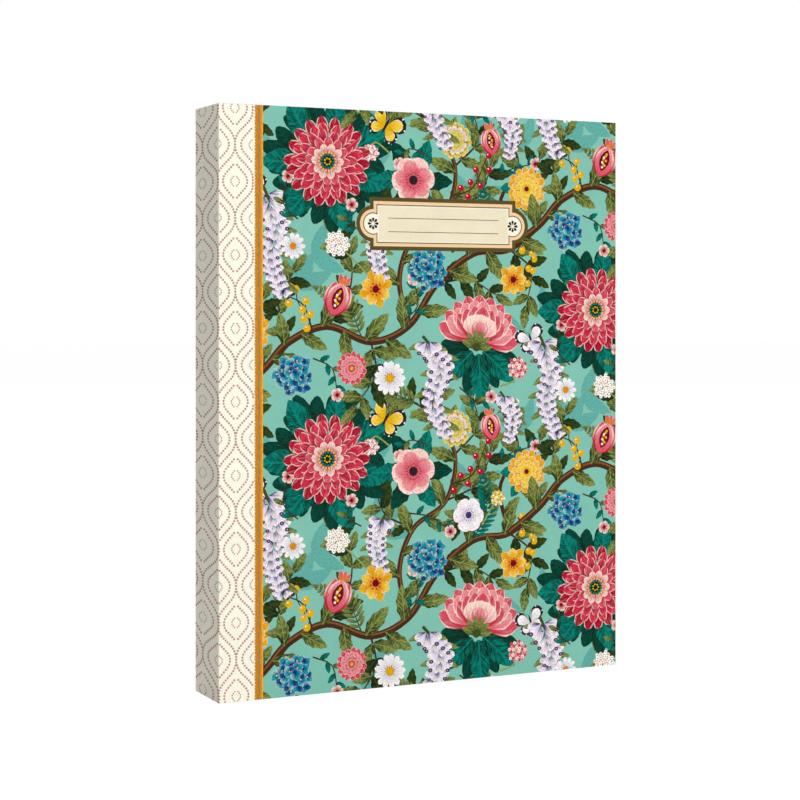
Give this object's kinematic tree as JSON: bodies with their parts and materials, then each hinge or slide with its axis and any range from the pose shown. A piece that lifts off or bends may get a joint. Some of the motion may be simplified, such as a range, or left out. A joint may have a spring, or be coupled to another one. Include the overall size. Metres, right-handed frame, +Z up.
{
  "type": "address book",
  "caption": "Quarter-bound hardback address book with a stepped A to Z thumb index; covers, flyleaves and letter sections turn on their folds.",
  "frame": {"origin": "middle of the foot of the closed book, on the surface that it stands on", "axes": "+Z up along the spine, +X from the spine to the fore edge, -Y out of the front cover"},
  "size_m": [0.171, 0.0256, 0.22],
  "materials": {
    "cover_print": "satin printed and laminated",
    "quarter_paper": "satin printed and laminated",
    "ribbon": "woven",
    "label_paper": "satin",
    "board": "matte grey board",
    "endpaper": "matte",
    "page_paper": "matte",
    "lining_paper": "matte kraft",
    "mull": "open weave",
    "band_cotton": "woven in two colours"
  },
  "bodies": {
    "spine": {"spine_board": "board", "spine_paper": "quarter_paper", "spine_lining": "lining_paper", "spine_mull": "mull", "head_band": "band_cotton", "tail_band": "band_cotton", "section_backs": "page_paper", "front_joint_paper": "quarter_paper", "back_joint_paper": "quarter_paper", "front_endpaper_fold": "endpaper", "back_endpaper_fold": "endpaper"},
    "front_cover": {"front_board": "board", "front_cover_paper": "cover_print", "front_quarter_paper": "quarter_paper", "front_ribbon": "ribbon", "front_pastedown": "endpaper", "title_label": "label_paper"},
    "back_cover": {"back_board": "board", "back_cover_paper": "cover_print", "back_quarter_paper": "quarter_paper", "back_ribbon": "ribbon", "back_pastedown": "endpaper"},
    "front_flyleaf": {"front_flyleaf": "endpaper"},
    "back_flyleaf": {"back_flyleaf": "endpaper"},
    "section_a": {"section_a": "page_paper"},
    "section_b": {"section_b": "page_paper"},
    "section_c": {"section_c": "page_paper"},
    "section_d": {"section_d": "page_paper"},
    "section_e": {"section_e": "page_paper"},
    "section_f": {"section_f": "page_paper"},
    "section_g": {"section_g": "page_paper"},
    "section_h": {"section_h": "page_paper"},
    "section_i": {"section_i": "page_paper"},
    "section_j": {"section_j": "page_paper"},
    "section_k": {"section_k": "page_paper"},
    "section_l": {"section_l": "page_paper"},
    "section_m": {"section_m": "page_paper"},
    "section_n": {"section_n": "page_paper"},
    "section_o": {"section_o": "page_paper"},
    "section_p": {"section_p": "page_paper"},
    "section_q": {"section_q": "page_paper"},
    "section_r": {"section_r": "page_paper"},
    "section_s": {"section_s": "page_paper"},
    "section_t": {"section_t": "page_paper"},
    "section_u": {"section_u": "page_paper"},
    "section_v": {"section_v": "page_paper"},
    "section_w": {"section_w": "page_paper"},
    "section_xyz": {"section_xyz": "page_paper"}
  },
  "joints": [
    {"name": "front_cover_hinge", "type": "hinge", "parent": "spine", "child": "front_cover", "pos_m": [-0.0818, -0.0112, 0], "axis": [0, 0, -1], "range_deg": [0, 179], "deforming": ["front_joint_paper", "front_endpaper_fold"]},
    {"name": "back_cover_hinge", "type": "hinge", "parent": "spine", "child": "back_cover", "pos_m": [-0.0818, 0.0112, 0], "axis": [0, 0, 1], "range_deg": [0, 179], "deforming": ["back_joint_paper", "back_endpaper_fold"]},
    {"name": "front_flyleaf_turn", "type": "hinge", "parent": "spine", "child": "front_flyleaf", "pos_m": [-0.07675, -0.00937, 0], "axis": [0, 0, -1], "range_deg": [0, 138]},
    {"name": "back_flyleaf_turn", "type": "hinge", "parent": "spine", "child": "back_flyleaf", "pos_m": [-0.07675, 0.00937, 0], "axis": [0, 0, 1], "range_deg": [0, 138]},
    {"name": "section_a_turn", "type": "hinge", "parent": "spine", "child": "section_a", "pos_m": [-0.07495, -0.00886, 0], "axis": [0, 0, -1], "range_deg": [0, 132]},
    {"name": "section_b_turn", "type": "hinge", "parent": "spine", "child": "section_b", "pos_m": [-0.07346, -0.00809, 0], "axis": [0, 0, -1], "range_deg": [0, 126.5]},
    {"name": "section_c_turn", "type": "hinge", "parent": "spine", "child": "section_c", "pos_m": [-0.07214, -0.00732, 0], "axis": [0, 0, -1], "range_deg": [0, 121]},
    {"name": "section_d_turn", "type": "hinge", "parent": "spine", "child": "section_d", "pos_m": [-0.07095, -0.00654, 0], "axis": [0, 0, -1], "range_deg": [0, 115.5]},
    {"name": "section_e_turn", "type": "hinge", "parent": "spine", "child": "section_e", "pos_m": [-0.06988, -0.00577, 0], "axis": [0, 0, -1], "range_deg": [0, 110]},
    {"name": "section_f_turn", "type": "hinge", "parent": "spine", "child": "section_f", "pos_m": [-0.06892, -0.005, 0], "axis": [0, 0, -1], "range_deg": [0, 104.5]},
    {"name": "section_g_turn", "type": "hinge", "parent": "spine", "child": "section_g", "pos_m": [-0.06805, -0.00424, 0], "axis": [0, 0, -1], "range_deg": [0, 99]},
    {"name": "section_h_turn", "type": "hinge", "parent": "spine", "child": "section_h", "pos_m": [-0.06726, -0.00347, 0], "axis": [0, 0, -1], "range_deg": [0, 93.5]},
    {"name": "section_i_turn", "type": "hinge", "parent": "spine", "child": "section_i", "pos_m": [-0.06655, -0.00269, 0], "axis": [0, 0, -1], "range_deg": [0, 88]},
    {"name": "section_j_turn", "type": "hinge", "parent": "spine", "child": "section_j", "pos_m": [-0.0659, -0.00193, 0], "axis": [0, 0, -1], "range_deg": [0, 82.5]},
    {"name": "section_k_turn", "type": "hinge", "parent": "spine", "child": "section_k", "pos_m": [-0.06532, -0.00115, 0], "axis": [0, 0, -1], "range_deg": [0, 77]},
    {"name": "section_l_turn", "type": "hinge", "parent": "spine", "child": "section_l", "pos_m": [-0.0648, -0.00038, 0], "axis": [0, 0, -1], "range_deg": [0, 71.5]},
    {"name": "section_m_turn", "type": "hinge", "parent": "spine", "child": "section_m", "pos_m": [-0.06433, 0.00038, 0], "axis": [0, 0, -1], "range_deg": [0, 66]},
    {"name": "section_n_turn", "type": "hinge", "parent": "spine", "child": "section_n", "pos_m": [-0.06391, 0.00115, 0], "axis": [0, 0, -1], "range_deg": [0, 60.5]},
    {"name": "section_o_turn", "type": "hinge", "parent": "spine", "child": "section_o", "pos_m": [-0.06355, 0.00193, 0], "axis": [0, 0, -1], "range_deg": [0, 55]},
    {"name": "section_p_turn", "type": "hinge", "parent": "spine", "child": "section_p", "pos_m": [-0.06323, 0.00269, 0], "axis": [0, 0, -1], "range_deg": [0, 49.5]},
    {"name": "section_q_turn", "type": "hinge", "parent": "spine", "child": "section_q", "pos_m": [-0.06297, 0.00347, 0], "axis": [0, 0, -1], "range_deg": [0, 44]},
    {"name": "section_r_turn", "type": "hinge", "parent": "spine", "child": "section_r", "pos_m": [-0.06274, 0.00424, 0], "axis": [0, 0, -1], "range_deg": [0, 38.5]},
    {"name": "section_s_turn", "type": "hinge", "parent": "spine", "child": "section_s", "pos_m": [-0.06257, 0.005, 0], "axis": [0, 0, -1], "range_deg": [0, 33]},
    {"name": "section_t_turn", "type": "hinge", "parent": "spine", "child": "section_t", "pos_m": [-0.06245, 0.00577, 0], "axis": [0, 0, -1], "range_deg": [0, 27.5]},
    {"name": "section_u_turn", "type": "hinge", "parent": "spine", "child": "section_u", "pos_m": [-0.06238, 0.00654, 0], "axis": [0, 0, -1], "range_deg": [0, 22]},
    {"name": "section_v_turn", "type": "hinge", "parent": "spine", "child": "section_v", "pos_m": [-0.06233, 0.00732, 0], "axis": [0, 0, -1], "range_deg": [0, 16.5]},
    {"name": "section_w_turn", "type": "hinge", "parent": "spine", "child": "section_w", "pos_m": [-0.06228, 0.00809, 0], "axis": [0, 0, -1], "range_deg": [0, 11]},
    {"name": "section_xyz_turn", "type": "hinge", "parent": "spine", "child": "section_xyz", "pos_m": [-0.06223, 0.00886, 0], "axis": [0, 0, -1], "range_deg": [0, 5.5]}
  ],
  "couplings": [
    {"joint": "front_flyleaf_turn", "follows": "front_cover_hinge", "ratio": 0.77095},
    {"joint": "back_flyleaf_turn", "follows": "back_cover_hinge", "ratio": 0.77095},
    {"joint": "section_a_turn", "follows": "front_cover_hinge", "ratio": 0.73743},
    {"joint": "section_b_turn", "follows": "front_cover_hinge", "ratio": 0.7067},
    {"joint": "section_c_turn", "follows": "front_cover_hinge", "ratio": 0.67598},
    {"joint": "section_d_turn", "follows": "front_cover_hinge", "ratio": 0.64525},
    {"joint": "section_e_turn", "follows": "front_cover_hinge", "ratio": 0.61453},
    {"joint": "section_f_turn", "follows": "front_cover_hinge", "ratio": 0.5838},
    {"joint": "section_g_turn", "follows": "front_cover_hinge", "ratio": 0.55307},
    {"joint": "section_h_turn", "follows": "front_cover_hinge", "ratio": 0.52235},
    {"joint": "section_i_turn", "follows": "front_cover_hinge", "ratio": 0.49162},
    {"joint": "section_j_turn", "follows": "front_cover_hinge", "ratio": 0.46089},
    {"joint": "section_k_turn", "follows": "front_cover_hinge", "ratio": 0.43017},
    {"joint": "section_l_turn", "follows": "front_cover_hinge", "ratio": 0.39944},
    {"joint": "section_m_turn", "follows": "front_cover_hinge", "ratio": 0.36872},
    {"joint": "section_n_turn", "follows": "front_cover_hinge", "ratio": 0.33799},
    {"joint": "section_o_turn", "follows": "front_cover_hinge", "ratio": 0.30726},
    {"joint": "section_p_turn", "follows": "front_cover_hinge", "ratio": 0.27654},
    {"joint": "section_q_turn", "follows": "front_cover_hinge", "ratio": 0.24581},
    {"joint": "section_r_turn", "follows": "front_cover_hinge", "ratio": 0.21508},
    {"joint": "section_s_turn", "follows": "front_cover_hinge", "ratio": 0.18436},
    {"joint": "section_t_turn", "follows": "front_cover_hinge", "ratio": 0.15363},
    {"joint": "section_u_turn", "follows": "front_cover_hinge", "ratio": 0.12291},
    {"joint": "section_v_turn", "follows": "front_cover_hinge", "ratio": 0.092179},
    {"joint": "section_w_turn", "follows": "front_cover_hinge", "ratio": 0.061453},
    {"joint": "section_xyz_turn", "follows": "front_cover_hinge", "ratio": 0.030726}
  ]
}
